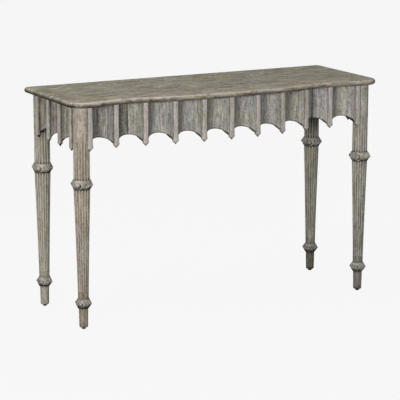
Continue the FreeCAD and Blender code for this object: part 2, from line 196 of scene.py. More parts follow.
class ApronSizes(PropertyGroup):
    """Sizes of the coved apron and its fins."""
    bow: length("Bow", 42, "Front leg axis to the fin line at the middle")
    waist: length("Waist", -0.5, "Front leg axis to the fin line at its hollow")
    ear: length("Ear", 19, "Front leg axis to the fin line over the leg")
    front_thickness: length("Front thickness", 50, "Thickness of the front apron")
    front_cove: length("Front cove", 36, "Depth of a front cove")
    side_cove: length("Side cove", 25, "Depth of a side cove")
    arch_rise: length("Arch rise", 24, "Height of the arch below a cove")
    front_relief: number("Front undercut", 0.45, "Rise of a front apron's back edge, as a share of the arch")
    side_relief: number("Side undercut", 1.4, "Rise of a side apron's back edge, as a share of the arch")
    arris: length("Arris", 1.2, "Rounding of the sawn lower edge")
    front_fins: IntProperty(name="Front fins", description="Fins along the front", default=11, min=3)
    side_fins: IntProperty(name="Side fins", description="Fins along each side", default=4, min=2)
    front_fin_inset: length("Front fin inset", 25.5, "Leg axis to the middle of an end fin, front")
    side_fin_inset: length("Side fin inset", 26.5, "Leg axis to the middle of an end fin, side")
    fin_flat: length("Fin flat", 21, "Width of the flat behind a fin")
    fin_width: length("Fin width", 20, "Width of a fin")
    fin_proud: length("Fin proud", 7, "How far a fin stands out")
    fin_let_in: length("Fin let in", 2.5, "How far a fin is let in")
    fin_chamfer: length("Fin chamfer", 3.2, "Chamfer on a fin's edges")
    fin_ease: length("Fin ease", 3, "Rounding of a fin's upper end")
    fin_arris: length("Fin arris", 0.9, "Rounding of a fin's edges")
    pendant_depth: length("Pendant depth", 7, "Fin line to the back of a pendant")
    pendant_neck: length("Pendant neck", 4, "Where a pendant starts, over the bottom of the apron")
    pendant_lean: length("Pendant lean", 5, "How far a point's front and back draw in")
    arrow_flare: length("Arrow flare", 14, "Height over which a fin widens to its shoulders")
    arrow_width: length("Arrow width", 24.5, "Width over a pendant's shoulders")
    arrow_height: length("Arrow height", 12.8, "A pendant's shoulders to its point")
    arrow_tip: length("Arrow tip", 0.5, "Half the width of a pendant's point")


class LegSizes(PropertyGroup):
    """Sizes of the turned and fluted legs."""
    column: length("Column", 59, "Diameter above the upper collar")
    column_ease: length("Column ease", 2.5, "Rounding of the column's upper end")
    shaft_top: length("Shaft top", 60, "Diameter under the upper collar")
    shaft_bottom: length("Shaft bottom", 38.5, "Diameter over the lower collar")
    shaft_hollow: length("Shaft hollow", 0.7, "How far the taper falls inside a straight line")
    foot_top: length("Foot top", 34.5, "Diameter under the lower collar")
    foot_bottom: length("Foot bottom", 32, "Diameter at the floor end")
    foot_round: length("Foot round", 5, "Rounding of the foot's end")
    flutes: IntProperty(name="Flutes", description="Flutes round a leg", default=16, min=6)
    flute_depth: length("Flute depth", 2.6, "Depth at the upper collar")
    flute_end_depth: length("Flute end depth", 1.0, "Depth at the lower end")
    flute_radius: length("Flute radius", 6, "Hollow's radius at the upper collar")
    flute_end_radius: length("Flute end radius", 3.4, "Hollow's radius at the lower end")
    flute_gap: length("Flute gap", 20, "Lower collar to where the flutes start to deepen")
    flute_start: length("Flute start", 8, "Lower collar to where the flutes start to show")
    flute_fade: length("Flute fade", 60, "Length over which the flutes die out below")
    flute_rise: length("Flute rise", 19, "Bottom of the apron to the top of the flutes")
    flute_round: length("Flute round", 8, "Length of a flute's rounded upper end")


class CollarSizes(PropertyGroup):
    """Sizes of the collars and their carved bosses, with the carving as on an upper boss."""
    upper_reach: length("Upper boss", 43.6, "Leg axis to the point of an upper boss")
    lower_reach: length("Lower boss", 32.8, "Leg axis to the point of a lower boss")
    tip: length("Tip", 0.7, "Radius of a boss's point")
    clearance: length("Clearance", 0.1, "Gap between a collar and its leg")
    wall: length("Wall", 2.8, "Least thickness of a collar between its bosses")
    curl: length("Curl", 8, "Radius at which the carved curl starts")
    curl_growth: length("Curl growth", 3.6, "Growth of the curl's radius in one turn")
    groove: length("Groove", 0.9, "Depth of the curl's groove")
    groove_width: length("Groove width", 2.8, "Half the width of the curl's groove")
    rim: length("Rim", 0.6, "Height of the raised rim round the curl")
    rim_offset: length("Rim offset", 5, "Curl to its rim")
    rim_width: length("Rim width", 2.4, "Half the width of the rim")
    knob: length("Knob", 5.2, "Radius of the knob inside the curl")


class Finish(PropertyGroup):
    """Colours of the weathered finish and of the painted shade and highlights on it."""
    dark: colour("Dark fibres", (0.100, 0.088, 0.072), "Darkest streaks of the wood")
    mid: colour("Mid grey", (0.268, 0.247, 0.210), "Body colour of the wood")
    # The pale tone is also the colour of the painted highlights.
    pale: colour("Pale grey", (0.475, 0.452, 0.412), "Pale streaks and rubbed edges")
    # Dark colour of the glazing in the hollows and pores, and of the painted shade in creases and under
    # things.
    glaze: colour("Glaze", (0.035, 0.029, 0.021), "Dark glaze left in the recesses")
    # Black where the darkening is full: dark joint lines and groove bottoms, and painted shade on the arch
    # undersides and other shaded edges.
    soot: colour("Soot", (0.011, 0.010, 0.009), "Black stain on sawn and hidden edges")
    olive: colour("Olive tint", (0.97, 0.975, 0.87), "Greenish clouds, as a tint")
    mauve: colour("Mauve tint", (1.0, 0.96, 0.98), "Purplish streaks, as a tint")
    bare: colour("Bare timber", (0.40, 0.30, 0.19), "Unfinished timber inside the frame")


class Studio(PropertyGroup):
    """Camera and light."""
    eye: FloatVectorProperty(name="Camera", description="Place of the camera", subtype="TRANSLATION",
                             unit="LENGTH", default=(-3.2267, -6.0688, 1.8638))
    turn: FloatProperty(name="Turn", description="Camera's heading to the right of straight back",
                        subtype="ANGLE", default=math.radians(27.806))
    tilt: FloatProperty(name="Tilt", description="Camera's tilt below level", subtype="ANGLE",
                        default=math.radians(12.107))
    lens: FloatProperty(name="Lens", description="Focal length in millimetres", subtype="DISTANCE_CAMERA",
                        default=165.82)
    key: number("Key light", 1.9, "Light of the low main lamp on the table")
    fill: number("Fill light", 1.15, "Light of the weaker lamp in front of the table")
    overhead: number("Overhead light", 0.90, "Light of the lamp above the table")
    ambient: number("Ambient", 0.20, "Strength of the light from all round")
    behind: number("Behind", 5.0, "Strength of the light from behind, in ambients")


class PierTable(PropertyGroup):
    """All settings of the table."""
    top: PointerProperty(type=TopSizes)
    apron: PointerProperty(type=ApronSizes)
    leg: PointerProperty(type=LegSizes)
    collar: PointerProperty(type=CollarSizes)
    finish: PointerProperty(type=Finish)
    studio: PointerProperty(type=Studio)


# Meshes

def ring_faces(rings, count, closed):
    """Quads between rings of points stored ring by ring. When closed, the last ring joins the first."""
    a, b = np.meshgrid(np.arange(rings if closed else rings - 1), np.arange(count), indexing="ij")
    c, d = (a + 1) % rings, (b + 1) % count
    return np.stack([a * count + b, a * count + d, c * count + d, c * count + b], -1).reshape(-1, 4)


def end_faces(rings, count):
    """Flat faces over the first and the last ring."""
    return [np.arange(count)[None, ::-1], (rings - 1) * count + np.arange(count)[None]]


def signed_volume(points, faces):
    """Volume inside a closed mesh, negative when its faces point inwards: the sum over fans of triangles."""
    total = 0.0
    for block in faces:
        a = points[block[:, :1]]
        b, c = points[block[:, 1:-1]], points[block[:, 2:]]
        total += float((a * np.cross(b, c)).sum())
    return total / 6


def make_piece(name, node, material, points, rub, recess, closed=False):
    """Piece in the place of a node, from rings of points (rings, points, 3), with masks of wear, glazing and
    painted light as attributes.

    The rings make a tube with flat ends, or a closed ring. Faces turned inwards are turned round.
    """
    crease = math.radians(32)
    grid = points.shape[:2]
    faces = [ring_faces(*grid, closed)]
    if not closed:
        faces += end_faces(*grid)
    points = points.reshape(-1, 3)
    if signed_volume(points, faces) < 0:
        faces = [block[:, ::-1] for block in faces]
    corners = np.concatenate([block.ravel() for block in faces]).astype(np.int32)
    counts = np.concatenate([np.full(len(block), block.shape[1]) for block in faces])
    starts = np.concatenate([[0], np.cumsum(counts)[:-1]]).astype(np.int32)
    mesh = bpy.data.meshes.new(name)
    mesh.vertices.add(len(points))
    mesh.vertices.foreach_set("co", points.astype(np.float32).ravel())
    mesh.loops.add(len(corners))
    mesh.loops.foreach_set("vertex_index", corners)
    mesh.polygons.add(len(starts))
    mesh.polygons.foreach_set("loop_start", starts)
    mesh.update(calc_edges=True)
    mesh.polygons.foreach_set("use_smooth", np.ones(len(starts), bool))
    mesh.set_sharp_from_angle(angle=crease)
    for mask, values in (("rub", rub), ("recess", recess)):
        attribute = mesh.attributes.new(mask, "FLOAT", "POINT")
        shares = np.broadcast_to(np.clip(values, 0, 1), grid)
        attribute.data.foreach_set("value", shares.astype(np.float32).ravel())
    mesh.materials.append(material)
    piece = bpy.data.objects.new(name, mesh)
    bpy.context.scene.collection.objects.link(piece)
    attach(piece, "root")
    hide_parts(node)


def bell(distance, width):
    """Bell curve of a distance: one at zero, falling to about a third at the width."""
    return np.exp(-(distance / width) ** 2)


def rounded(corners, radius):
    """Rings of corners (rings, corners, 2) with each corner cut to three points of a small round."""
    before = np.roll(corners, 1, axis=1) - corners
    after = np.roll(corners, -1, axis=1) - corners
    reach_before = np.linalg.norm(before, axis=2, keepdims=True)
    reach_after = np.linalg.norm(after, axis=2, keepdims=True)
    cut = np.minimum(radius, 0.4 * np.minimum(reach_before, reach_after))
    near, far = before / reach_before * cut, after / reach_after * cut
    crown = (near + far) * (1 - math.sqrt(0.5))
    rings = np.stack([corners + near, corners + crown, corners + far], axis=2)
    return rings.reshape(len(corners), -1, 2)


def lifted(x, y, z):
    """Points from x and y of each ring (rings, points) and the height z of each ring."""
    return np.stack([x, y, np.broadcast_to(z[:, None], x.shape)], 2)


def ogee(x, start, end, turn, low, high):
    """Height at x of two tangent arcs, level at (start, low) and (end, high), that meet at turn."""
    slope = 2 * math.atan(abs(high - low) / (end - start))
    sign = math.copysign(1, high - low)
    first, second = (turn - start) / math.sin(slope), (end - turn) / math.sin(slope)
    rise = low + sign * (first - np.sqrt(np.maximum(first ** 2 - (x - start) ** 2, 0)))
    fall = high - sign * (second - np.sqrt(np.maximum(second ** 2 - (end - x) ** 2, 0)))
    return np.where(x <= turn, rise, fall)


def front_line(x, sizes):
    """Y of the serpentine at x: bowed at the middle, hollow at the waist, forward again at the ear."""
    across = np.minimum(np.abs(x), LEG_X - EAR_INSET)
    waist_x = LEG_X - WAIST_INSET
    inner = ogee(across, 0.0, waist_x, LEG_X - BOW_TURN_INSET, sizes.bow, sizes.waist)
    outer = ogee(across, waist_x, LEG_X - EAR_INSET, LEG_X - EAR_TURN_INSET, sizes.waist, sizes.ear)
    return FRONT_LEG_Y - np.where(across <= waist_x, inner, outer)


# Shader groups and materials

TONES = ["Dark", "Mid", "Pale", "Glaze", "Soot"]
TINTS = ["Olive tint", "Mauve tint"]


def add_node(tree, kind, settings=None, **inputs):
    """Node with settings on it, and values or links in its inputs.

    An input goes by its socket's name, with underscores for spaces, or by i and the socket's number.
    """
    made = tree.nodes.new(kind)
    for key, value in (settings or {}).items():
        setattr(made, key, value)
    for key, value in inputs.items():
        numbered = key[0] == "i" and key[1:].isdigit()
        socket = made.inputs[int(key[1:]) if numbered else key.replace("_", " ")]
        if isinstance(value, bpy.types.NodeSocket):
            tree.links.new(value, socket)
        else:
            socket.default_value = value
    return made


def calculate(tree, operation, a, b=0.0, c=0.0):
    """Result of one Math operation on a, b and c."""
    return add_node(tree, "ShaderNodeMath", {"operation": operation}, i0=a, i1=b, i2=c).outputs[0]


def blend(tree, factor, a, b, kind="MIX"):
    """Colour a turned towards colour b by factor."""
    settings = {"data_type": "RGBA", "blend_type": kind, "clamp_factor": True}
    return add_node(tree, "ShaderNodeMix", settings, i0=factor, i6=a, i7=b).outputs[2]


def ramp(tree, value, low, high, to_low=0.0, to_high=1.0):
    """Value spread from the range low to high onto to_low to to_high, and held there."""
    return add_node(tree, "ShaderNodeMapRange", {"clamp": True}, Value=value, From_Min=low, From_Max=high,
                    To_Min=to_low, To_Max=to_high).outputs[0]


def calculate_vector(tree, operation, a, b):
    """Result of one Vector Math operation on a and b."""
    return add_node(tree, "ShaderNodeVectorMath", {"operation": operation}, i0=a, i1=b).outputs[0]


def new_group(name, inputs, outputs):
    """Empty shader group with named sockets, and its input and output nodes."""
    group = bpy.data.node_groups.new(name, "ShaderNodeTree")
    for label, kind, default in inputs:
        socket = group.interface.new_socket(label, in_out="INPUT", socket_type=kind)
        if default is not None:
            socket.default_value = default
    for label, kind in outputs:
        group.interface.new_socket(label, in_out="OUTPUT", socket_type=kind)
    return group, group.nodes.new("NodeGroupInput").outputs, group.nodes.new("NodeGroupOutput").inputs


def grain_group():
    """Weathered grain along the vector's X, all from noise stretched along it.

    Puts out a tone of streaks, fibres and mottle, open pores, two drifts of tint, and a height.
    """
    name = "Weathered grain"
    if name in bpy.data.node_groups:
        return bpy.data.node_groups[name]
    floats = [("Along", "NodeSocketFloat", 9.0), ("Across", "NodeSocketFloat", 75.0)]
    labels = ("Tone", "Pore", "Olive", "Mauve", "Height")
    group, given, result = new_group(name, [("Vector", "NodeSocketVector", None)] + floats,
                                     [(label, "NodeSocketFloat") for label in labels])
    bend = add_node(group, "ShaderNodeTexNoise", Vector=given["Vector"], Scale=6.0, Detail=2.0)
    sway = calculate_vector(group, "MULTIPLY", bend.outputs["Color"], (0.02, 0.02, 0.02))
    bent = calculate_vector(group, "ADD", given["Vector"], sway)
    stretch = add_node(group, "ShaderNodeCombineXYZ", X=given["Along"], Y=given["Across"], Z=given["Across"])
    fibres = calculate_vector(group, "MULTIPLY", bent, stretch.outputs[0])

    def noise(vector, scale, detail, roughness=0.6):
        return add_node(group, "ShaderNodeTexNoise", Vector=vector, Scale=scale, Detail=detail,
                        Roughness=roughness).outputs[0]

    streak = noise(fibres, 1.0, 3.0)
    fibre = noise(fibres, 3.4, 3.0, 0.7)
    mottle = noise(bent, 110.0, 4.0, 0.75)
    tone = calculate(group, "MULTIPLY_ADD", streak, 1.7, -2.0)
    tone = calculate(group, "ADD", tone, calculate(group, "MULTIPLY", fibre, 1.8))
    tone = calculate(group, "ADD", tone, calculate(group, "MULTIPLY", mottle, 1.5))
    pore = ramp(group, noise(fibres, 8.0, 2.0, 0.5), 0.60, 0.70)
    olive = ramp(group, noise(bent, 9.0, 3.0), 0.42, 0.60)
    mauve = ramp(group, noise(fibres, 0.45, 2.0), 0.45, 0.62)
    height = calculate(group, "SUBTRACT", tone, calculate(group, "MULTIPLY", pore, 0.7))
    for label, socket in zip(labels, (tone, pore, olive, mauve, height)):
        group.links.new(socket, result[label])
    return group


def finish_and_light_group():
    """Colour of a glazed and rubbed finish: tinted streaks from dark to pale, darker in the hollows where
    glazed and wherever shade is painted, paler on rubbed edges and painted highlights.
    """
    name = "Glazed finish"
    if name in bpy.data.node_groups:
        return bpy.data.node_groups[name]
    colours = [(label, "NodeSocketColor", None) for label in TONES + TINTS]
    values = {"Tone": 0.5, "Pore": 0.0, "Olive": 0.5, "Mauve": 0.5, "Recess": 0.0, "Rub": 0.0,
              "Contrast": 1.0}
    floats = [(label, "NodeSocketFloat", value) for label, value in values.items()]
    group, given, result = new_group(name, colours + floats,
                                     [("Color", "NodeSocketColor"), ("Roughness", "NodeSocketFloat")])
    tone = calculate(group, "SUBTRACT", given["Tone"], 0.5)
    tone = calculate(group, "MULTIPLY_ADD", tone, given["Contrast"], 0.5)
    body = blend(group, ramp(group, tone, 0.0, 0.5), given["Dark"], given["Mid"])
    body = blend(group, ramp(group, tone, 0.5, 1.0), body, given["Pale"])
    body = blend(group, given["Olive"], body, given["Olive tint"], "MULTIPLY")
    body = blend(group, given["Mauve"], body, given["Mauve tint"], "MULTIPLY")
    body = blend(group, calculate(group, "MULTIPLY", given["Pore"], 0.5), body, given["Glaze"])
    # Darkening: glazing in the hollows and painted shade together, deeper on the darker streaks, black where
    # it is full.
    pooled = calculate(group, "MULTIPLY", given["Recess"], ramp(group, tone, 0.1, 0.9, 1.2, 0.75))
    body = blend(group, pooled, body, given["Glaze"])
    body = blend(group, ramp(group, given["Recess"], 0.9, 1.0), body, given["Soot"])
    # Paling: rubbed wear and painted highlights together, showing most on the paler streaks.
    wear_and_light = calculate(group, "MULTIPLY", given["Rub"], ramp(group, tone, 0.15, 0.7, 0.35, 1.0))
    body = blend(group, wear_and_light, body, given["Pale"])
    rough = calculate(group, "MULTIPLY_ADD", given["Pore"], 0.2, 0.68)
    rough = calculate(group, "SUBTRACT", rough, calculate(group, "MULTIPLY", given["Rub"], 0.08))
    group.links.new(body, result["Color"])
    group.links.new(rough, result["Roughness"])
    return group


def new_material(name):
    """Material with its node tree, its shader and the place on the object."""
    material = bpy.data.materials.new(name)
    material.use_nodes = True
    tree = material.node_tree
    place = add_node(tree, "ShaderNodeTexCoord").outputs["Object"]
    return material, tree, tree.nodes["Principled BSDF"], place


def streaks(tree, place, turn, along, across):
    """Outputs of the grain at a place turned so that the fibres lie along the piece."""
    turned = add_node(tree, "ShaderNodeMapping", Vector=place, Rotation=turn).outputs[0]
    return add_node(tree, "ShaderNodeGroup", {"node_tree": grain_group()}, Vector=turned, Along=along,
                    Across=across).outputs


def roughen(tree, shader, height, strength):
    """Fine relief of the grain on the shader."""
    relief = add_node(tree, "ShaderNodeBump", Strength=strength, Distance=0.4 * MM, Height=height)
    tree.links.new(relief.outputs[0], shader.inputs["Normal"])


def tinted(tone, tint, power):
    """Tone times a tint to a power, as a colour with alpha."""
    return (*(min(1.0, channel * change ** power) for channel, change in zip(tone, tint)), 1.0)


def wood(name, finish, kind, tint):
    """Weathered wood with one kind of grain, along Z when upright or else along X.

    The tint changes the pale tone less than the others.
    """
    upright, contrast, along, across = GRAIN[kind]
    powers = {"Pale": 0.5}
    material, tree, shader, place = new_material(name)
    grain = streaks(tree, place, (0, math.radians(90 if upright else 0), 0), along, across)
    masks = {label: add_node(tree, "ShaderNodeAttribute", {"attribute_name": label.lower()}).outputs["Fac"]
             for label in ("Recess", "Rub")}
    tones = {label: tinted(getattr(finish, label.lower()), tint, powers.get(label, 1)) for label in TONES}
    tints = {label: (*getattr(finish, label.split()[0].lower()), 1.0) for label in TINTS}
    drifts = {label: grain[label] for label in ("Tone", "Pore", "Olive", "Mauve")}
    glaze = add_node(tree, "ShaderNodeGroup", {"node_tree": finish_and_light_group()}, Contrast=contrast, **drifts,
                     **masks, **tones, **tints).outputs
    tree.links.new(glaze["Color"], shader.inputs["Base Color"])
    tree.links.new(glaze["Roughness"], shader.inputs["Roughness"])
    roughen(tree, shader, grain["Height"], 0.3)
    shader.inputs["Specular IOR Level"].default_value = 0.05
    return material


def bare_timber(name, finish, crosswise=False):
    """Unfinished secondary timber: warm streaks along X, or along Y when crosswise."""
    material, tree, shader, place = new_material(name)
    grain = streaks(tree, place, (0, 0, math.radians(90 if crosswise else 0)), *TIMBER_GRAIN)
    dark = tuple(channel * 0.62 for channel in finish.bare)
    body = blend(tree, ramp(tree, grain["Tone"], 0.0, 1.0), (*dark, 1.0), (*finish.bare, 1.0))
    body = blend(tree, calculate(tree, "MULTIPLY", grain["Pore"], 0.4), body, (*finish.glaze, 1.0))
    tree.links.new(body, shader.inputs["Base Color"])
    roughen(tree, shader, grain["Height"], 0.2)
    shader.inputs["Roughness"].default_value = 0.72
    shader.inputs["Specular IOR Level"].default_value = 0.1
    return material


def plated_steel(name):
    """Zinc-plated screw steel with a fine brushed mottle."""
    material, tree, shader, place = new_material(name)
    mottle = add_node(tree, "ShaderNodeTexNoise", Vector=place, Scale=900.0, Detail=3.0).outputs[0]
    tree.links.new(ramp(tree, mottle, 0.3, 0.7, 0.28, 0.5), shader.inputs["Roughness"])
    tree.links.new(blend(tree, mottle, ZINC_DARK, ZINC_PALE), shader.inputs["Base Color"])
    shader.inputs["Metallic"].default_value = 1.0
    return material


def black_glide(name):
    """Moulded black glide, scuffed grey near the floor."""
    material, tree, shader, place = new_material(name)
    scuff = add_node(tree, "ShaderNodeTexNoise", Vector=place, Scale=600.0, Detail=4.0).outputs[0]
    height = add_node(tree, "ShaderNodeSeparateXYZ", Vector=place).outputs["Z"]
    low = ramp(tree, height, 0.0, 3 * MM, 1.0, 0.0)
    wear = calculate(tree, "MULTIPLY", low, ramp(tree, scuff, 0.45, 0.7))
    tree.links.new(blend(tree, wear, GLIDE_BLACK, GLIDE_SCUFF), shader.inputs["Base Color"])
    tree.links.new(ramp(tree, scuff, 0.3, 0.7, 0.45, 0.65), shader.inputs["Roughness"])
    shader.inputs["Specular IOR Level"].default_value = 0.02
    return material


# Top

def lip_wear_and_light(rise, end):
    """Lighter and darker bands round the lip, by the slope of its face and how far it faces an end of the
    table.

    Pale on the shoulder, less so at the ends: partly rubbed wear, partly a painted highlight. Darker step by
    step from there to the underside, more so at the ends: painted shade.
    """
    shoulder, spread = math.radians(60), math.radians(26)
    glaze_from, glaze_over, end_shift = math.radians(42), math.radians(65), math.radians(10)
    rub = bell(rise - shoulder, spread) * (1 - 0.65 * end)
    shade = np.clip((glaze_from + end_shift * end - rise) / glaze_over, 0, 1)
    return rub, shade * (0.75 + 0.2 * end)


def front_board(name, sizes, material):
    """Front board: a half-round section carried along ends, corners and serpentine, then flat to its seam."""
    radius = (TABLE_HEIGHT - FRAME_TOP) / 2
    corner = sizes.front_round
    ear_y = FRONT_LEG_Y - sizes.ear
    x = np.linspace(HALF_WIDTH - corner, corner - HALF_WIDTH, FRONT_POINTS)
    front = np.stack([x, front_line(x, sizes)], 1)
    turn = np.linspace(0, np.pi / 2, 25)[:-1]
    bend = np.stack([HALF_WIDTH - corner * (1 - np.cos(turn)), ear_y + corner * (1 - np.sin(turn))], 1)
    side = np.stack([np.full(6, HALF_WIDTH), np.linspace(FRONT_SEAM_Y, ear_y + corner, 7)[:-1]], 1)
    right = np.concatenate([side, bend])
    path = np.concatenate([right, front, right[::-1] * [-1, 1]])
    along = np.gradient(path, axis=0)
    along /= np.linalg.norm(along, axis=1, keepdims=True)
    outward = np.stack([-along[:, 1], along[:, 0]], 1)
    outward[0], outward[-1] = (1, 0), (-1, 0)
    swing = np.linspace(-np.pi / 2, np.pi / 2, NOSE_POINTS)
    inset = radius * (1 - np.cos(swing))
    nose = path[:, None] - outward[:, None] * inset[None, :, None]
    nose_z = FRAME_TOP + radius * (1 + np.sin(swing))
    back_x = np.linspace(1, -1, len(path)) * (HALF_WIDTH - 2 * radius)
    back = np.stack([back_x, np.full(len(path), FRONT_SEAM_Y)], 1)
    share = np.linspace(0, 1, 9)[1:, None, None]
    flat = (nose[:, -1] + (back - nose[:, -1]) * share).transpose(1, 0, 2)
    plan = np.concatenate([flat[:, ::-1], nose, flat], 1)
    blank = np.zeros(flat.shape[1])
    level = np.concatenate([blank + FRAME_TOP, nose_z, blank + TABLE_HEIGHT])
    points = np.concatenate([plan, np.broadcast_to(level[None, :, None], plan.shape[:2] + (1,))], 2)
    rise = np.concatenate([blank - np.pi / 2, swing, blank + np.pi / 2])
    on_nose = np.concatenate([blank, np.ones(len(swing)), blank])
    # Painted light on the lip: a pale band on the shoulder, partly wear and partly a painted highlight, and
    # painted shade below it, both scaled from the left end to the right end.
    rub, recess = lip_wear_and_light(rise[None], np.abs(outward[:, :1]) ** 2)
    wear_and_light = on_nose * np.interp(path[:, :1], (-HALF_WIDTH, HALF_WIDTH), LIP_WEAR_AND_LIGHT)
    make_piece(name, "top_board_1", material, points, rub * wear_and_light, recess * wear_and_light)


def plain_board(name, node, sizes, material):
    """Straight board: a section with half-round ends carried from seam to seam, drawn in at back corners."""
    low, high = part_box(node)
    radius = (TABLE_HEIGHT - FRAME_TOP) / 2
    corner = sizes.back_round
    y = np.linspace(low.y, high.y, 13)
    if abs(high.y - BACK_Y) < MM:
        straight = y[:-1][y[:-1] < BACK_Y - corner]
        y = np.concatenate([straight, BACK_Y - corner * (1 - np.sin(np.linspace(0, np.pi / 2, 9)))])
    past = np.clip((y - (BACK_Y - corner)) / corner, 0, 1)
    half = HALF_WIDTH - corner * (1 - np.sqrt(1 - past ** 2))
    swing = np.linspace(-np.pi / 2, np.pi / 2, NOSE_POINTS)
    right = half[:, None] + radius * (np.cos(swing) - 1)
    across = np.linspace(1, -1, 41)[1:-1]
    flat = (half - radius)[:, None] * across
    x = np.concatenate([right, flat, -right[:, ::-1], -flat], 1)
    blank = np.zeros(len(across))
    nose_z = FRAME_TOP + radius * (1 + np.sin(swing))
    z = np.concatenate([nose_z, blank + TABLE_HEIGHT, nose_z[::-1], blank + FRAME_TOP])
    points = np.stack([x, np.broadcast_to(y[:, None], x.shape), np.broadcast_to(z, x.shape)], 2)
    # The board's half-round ends get the lip's paler shoulder and the painted shade below it, as for faces
    # towards an end of the table.
    rub, recess = [np.concatenate([mask, blank, mask[::-1], blank]) for mask in lip_wear_and_light(swing, 1.0)]
    make_piece(name, node, material, points, rub, recess)


# Fins and aprons

def fin_stations(sizes):
    """Middles and headings of the fins on the front, the left side and the right side."""
    x = np.linspace(-1, 1, sizes.front_fins) * (LEG_X - sizes.front_fin_inset)
    half = sizes.fin_flat / 2
    rise = front_line(x + half, sizes) - front_line(x - half, sizes)
    square = np.abs(x) > LEG_X - WAIST_INSET + sizes.fin_flat
    heading = np.where(square, 0.0, np.arctan2(rise, sizes.fin_flat))
    front = np.stack([x, front_line(x, sizes)], 1)
    y = np.linspace(FRONT_LEG_Y + sizes.side_fin_inset, BACK_LEG_Y - sizes.side_fin_inset, sizes.side_fins)
    line = np.full(len(y), SIDE_LINE_X)
    quarter = np.full(len(y), np.pi / 2)
    left, right = np.stack([-line, y[::-1]], 1), np.stack([line, y], 1)
    return {"front": (front, heading), "left": (left, -quarter), "right": (right, quarter)}


def fin_piece(name, node, place, heading, sizes, material):
    """Fin: a chamfered section carried down its length, widening to shoulders and closing to a point below.

    The section is a rectangle with cut corners, deeper where it hangs below the apron as a pendant.
    """
    half, chamfer, ease = sizes.fin_width / 2, sizes.fin_chamfer, sizes.fin_ease
    neck = APRON_BOTTOM + sizes.pendant_neck
    shoulder = PENDANT_END + sizes.arrow_height
    flare_top = shoulder + sizes.arrow_flare
    strip_z = np.concatenate([FRAME_TOP - ease * (1 - np.sin(np.linspace(np.pi / 2, 0, 5))),
                              np.linspace(FRAME_TOP - ease, flare_top, 14)[1:],
                              np.linspace(flare_top, neck, 5)[1:]])
    pendant_z = np.concatenate([np.linspace(neck, shoulder, 7), np.linspace(shoulder, PENDANT_END, 14)[1:]])
    z = np.concatenate([strip_z, pendant_z])
    hangs = np.arange(len(z)) >= len(strip_z)
    grow = np.clip((flare_top - z) / (flare_top - shoulder), 0, 1) ** 2
    drop = np.clip((shoulder - z) / sizes.arrow_height, 0, 1)
    wide = half + (sizes.arrow_width / 2 - half) * grow
    wide = wide + (sizes.arrow_tip - wide) * drop
    capped = ease * (1 - np.sqrt(np.clip(1 - ((z - FRAME_TOP + ease).clip(0) / ease) ** 2, 0, 1)))
    lean = drop * sizes.pendant_lean
    front = -sizes.fin_proud + capped + lean
    back = np.where(hangs, sizes.pendant_depth - lean, sizes.fin_let_in)
    cut = np.minimum(np.minimum(chamfer, wide * 0.96), (back - front) * 0.45)
    back_cut = np.where(hangs, cut, 0.3 * MM)
    right_side = [(wide, back - back_cut), (wide - back_cut, back)]
    left_side = [(back_cut - wide, back), (-wide, back - back_cut)]
    face_side = [(-wide, front + cut), (cut - wide, front), (wide - cut, front), (wide, front + cut)]
    corners = np.stack([np.stack(corner, 1) for corner in right_side + left_side + face_side], 1)
    ring = rounded(corners, sizes.fin_arris)
    c, s = math.cos(heading), math.sin(heading)
    x = place[0] + c * ring[..., 0] - s * ring[..., 1]
    y = place[1] + s * ring[..., 0] + c * ring[..., 1]
    face = ring[..., 1] - front[:, None]
    edge = bell(face - 0.3 * MM, 1.2 * MM) * bell(np.abs(ring[..., 0]) - (wide - cut)[:, None], 2 * MM)
    # Painted highlight on the fin's rounded top under the lip, where light catches it.
    top = bell(z - FRAME_TOP + 4 * MM, 4 * MM)[:, None] * (face < chamfer)
    # Painted highlight along the pendant's shoulders.
    shoulder_highlight = bell(z - shoulder, 1.6 * MM)[:, None] * (face < chamfer)
    rub = 0.55 * edge + 0.7 * top + 0.6 * shoulder_highlight + 0.25 * (face < 0.5 * MM)
    flank = np.clip((face - chamfer * 0.6) / (3 * MM), 0, 1)
    aside = np.clip((face - 0.1 * MM) / (0.4 * MM), 0, 1)
    # Painted shade on the lower faces of the pendant's point.
    below = np.clip(drop * 6, 0, 1)[:, None] * (0.3 + 0.7 * aside)
    shut = bell(z - FRAME_TOP, 1.4 * MM)[:, None]
    recess = np.maximum(np.maximum(0.3 * flank, below), shut)
    make_piece(name, node, material, lifted(x, y, z), rub, recess)


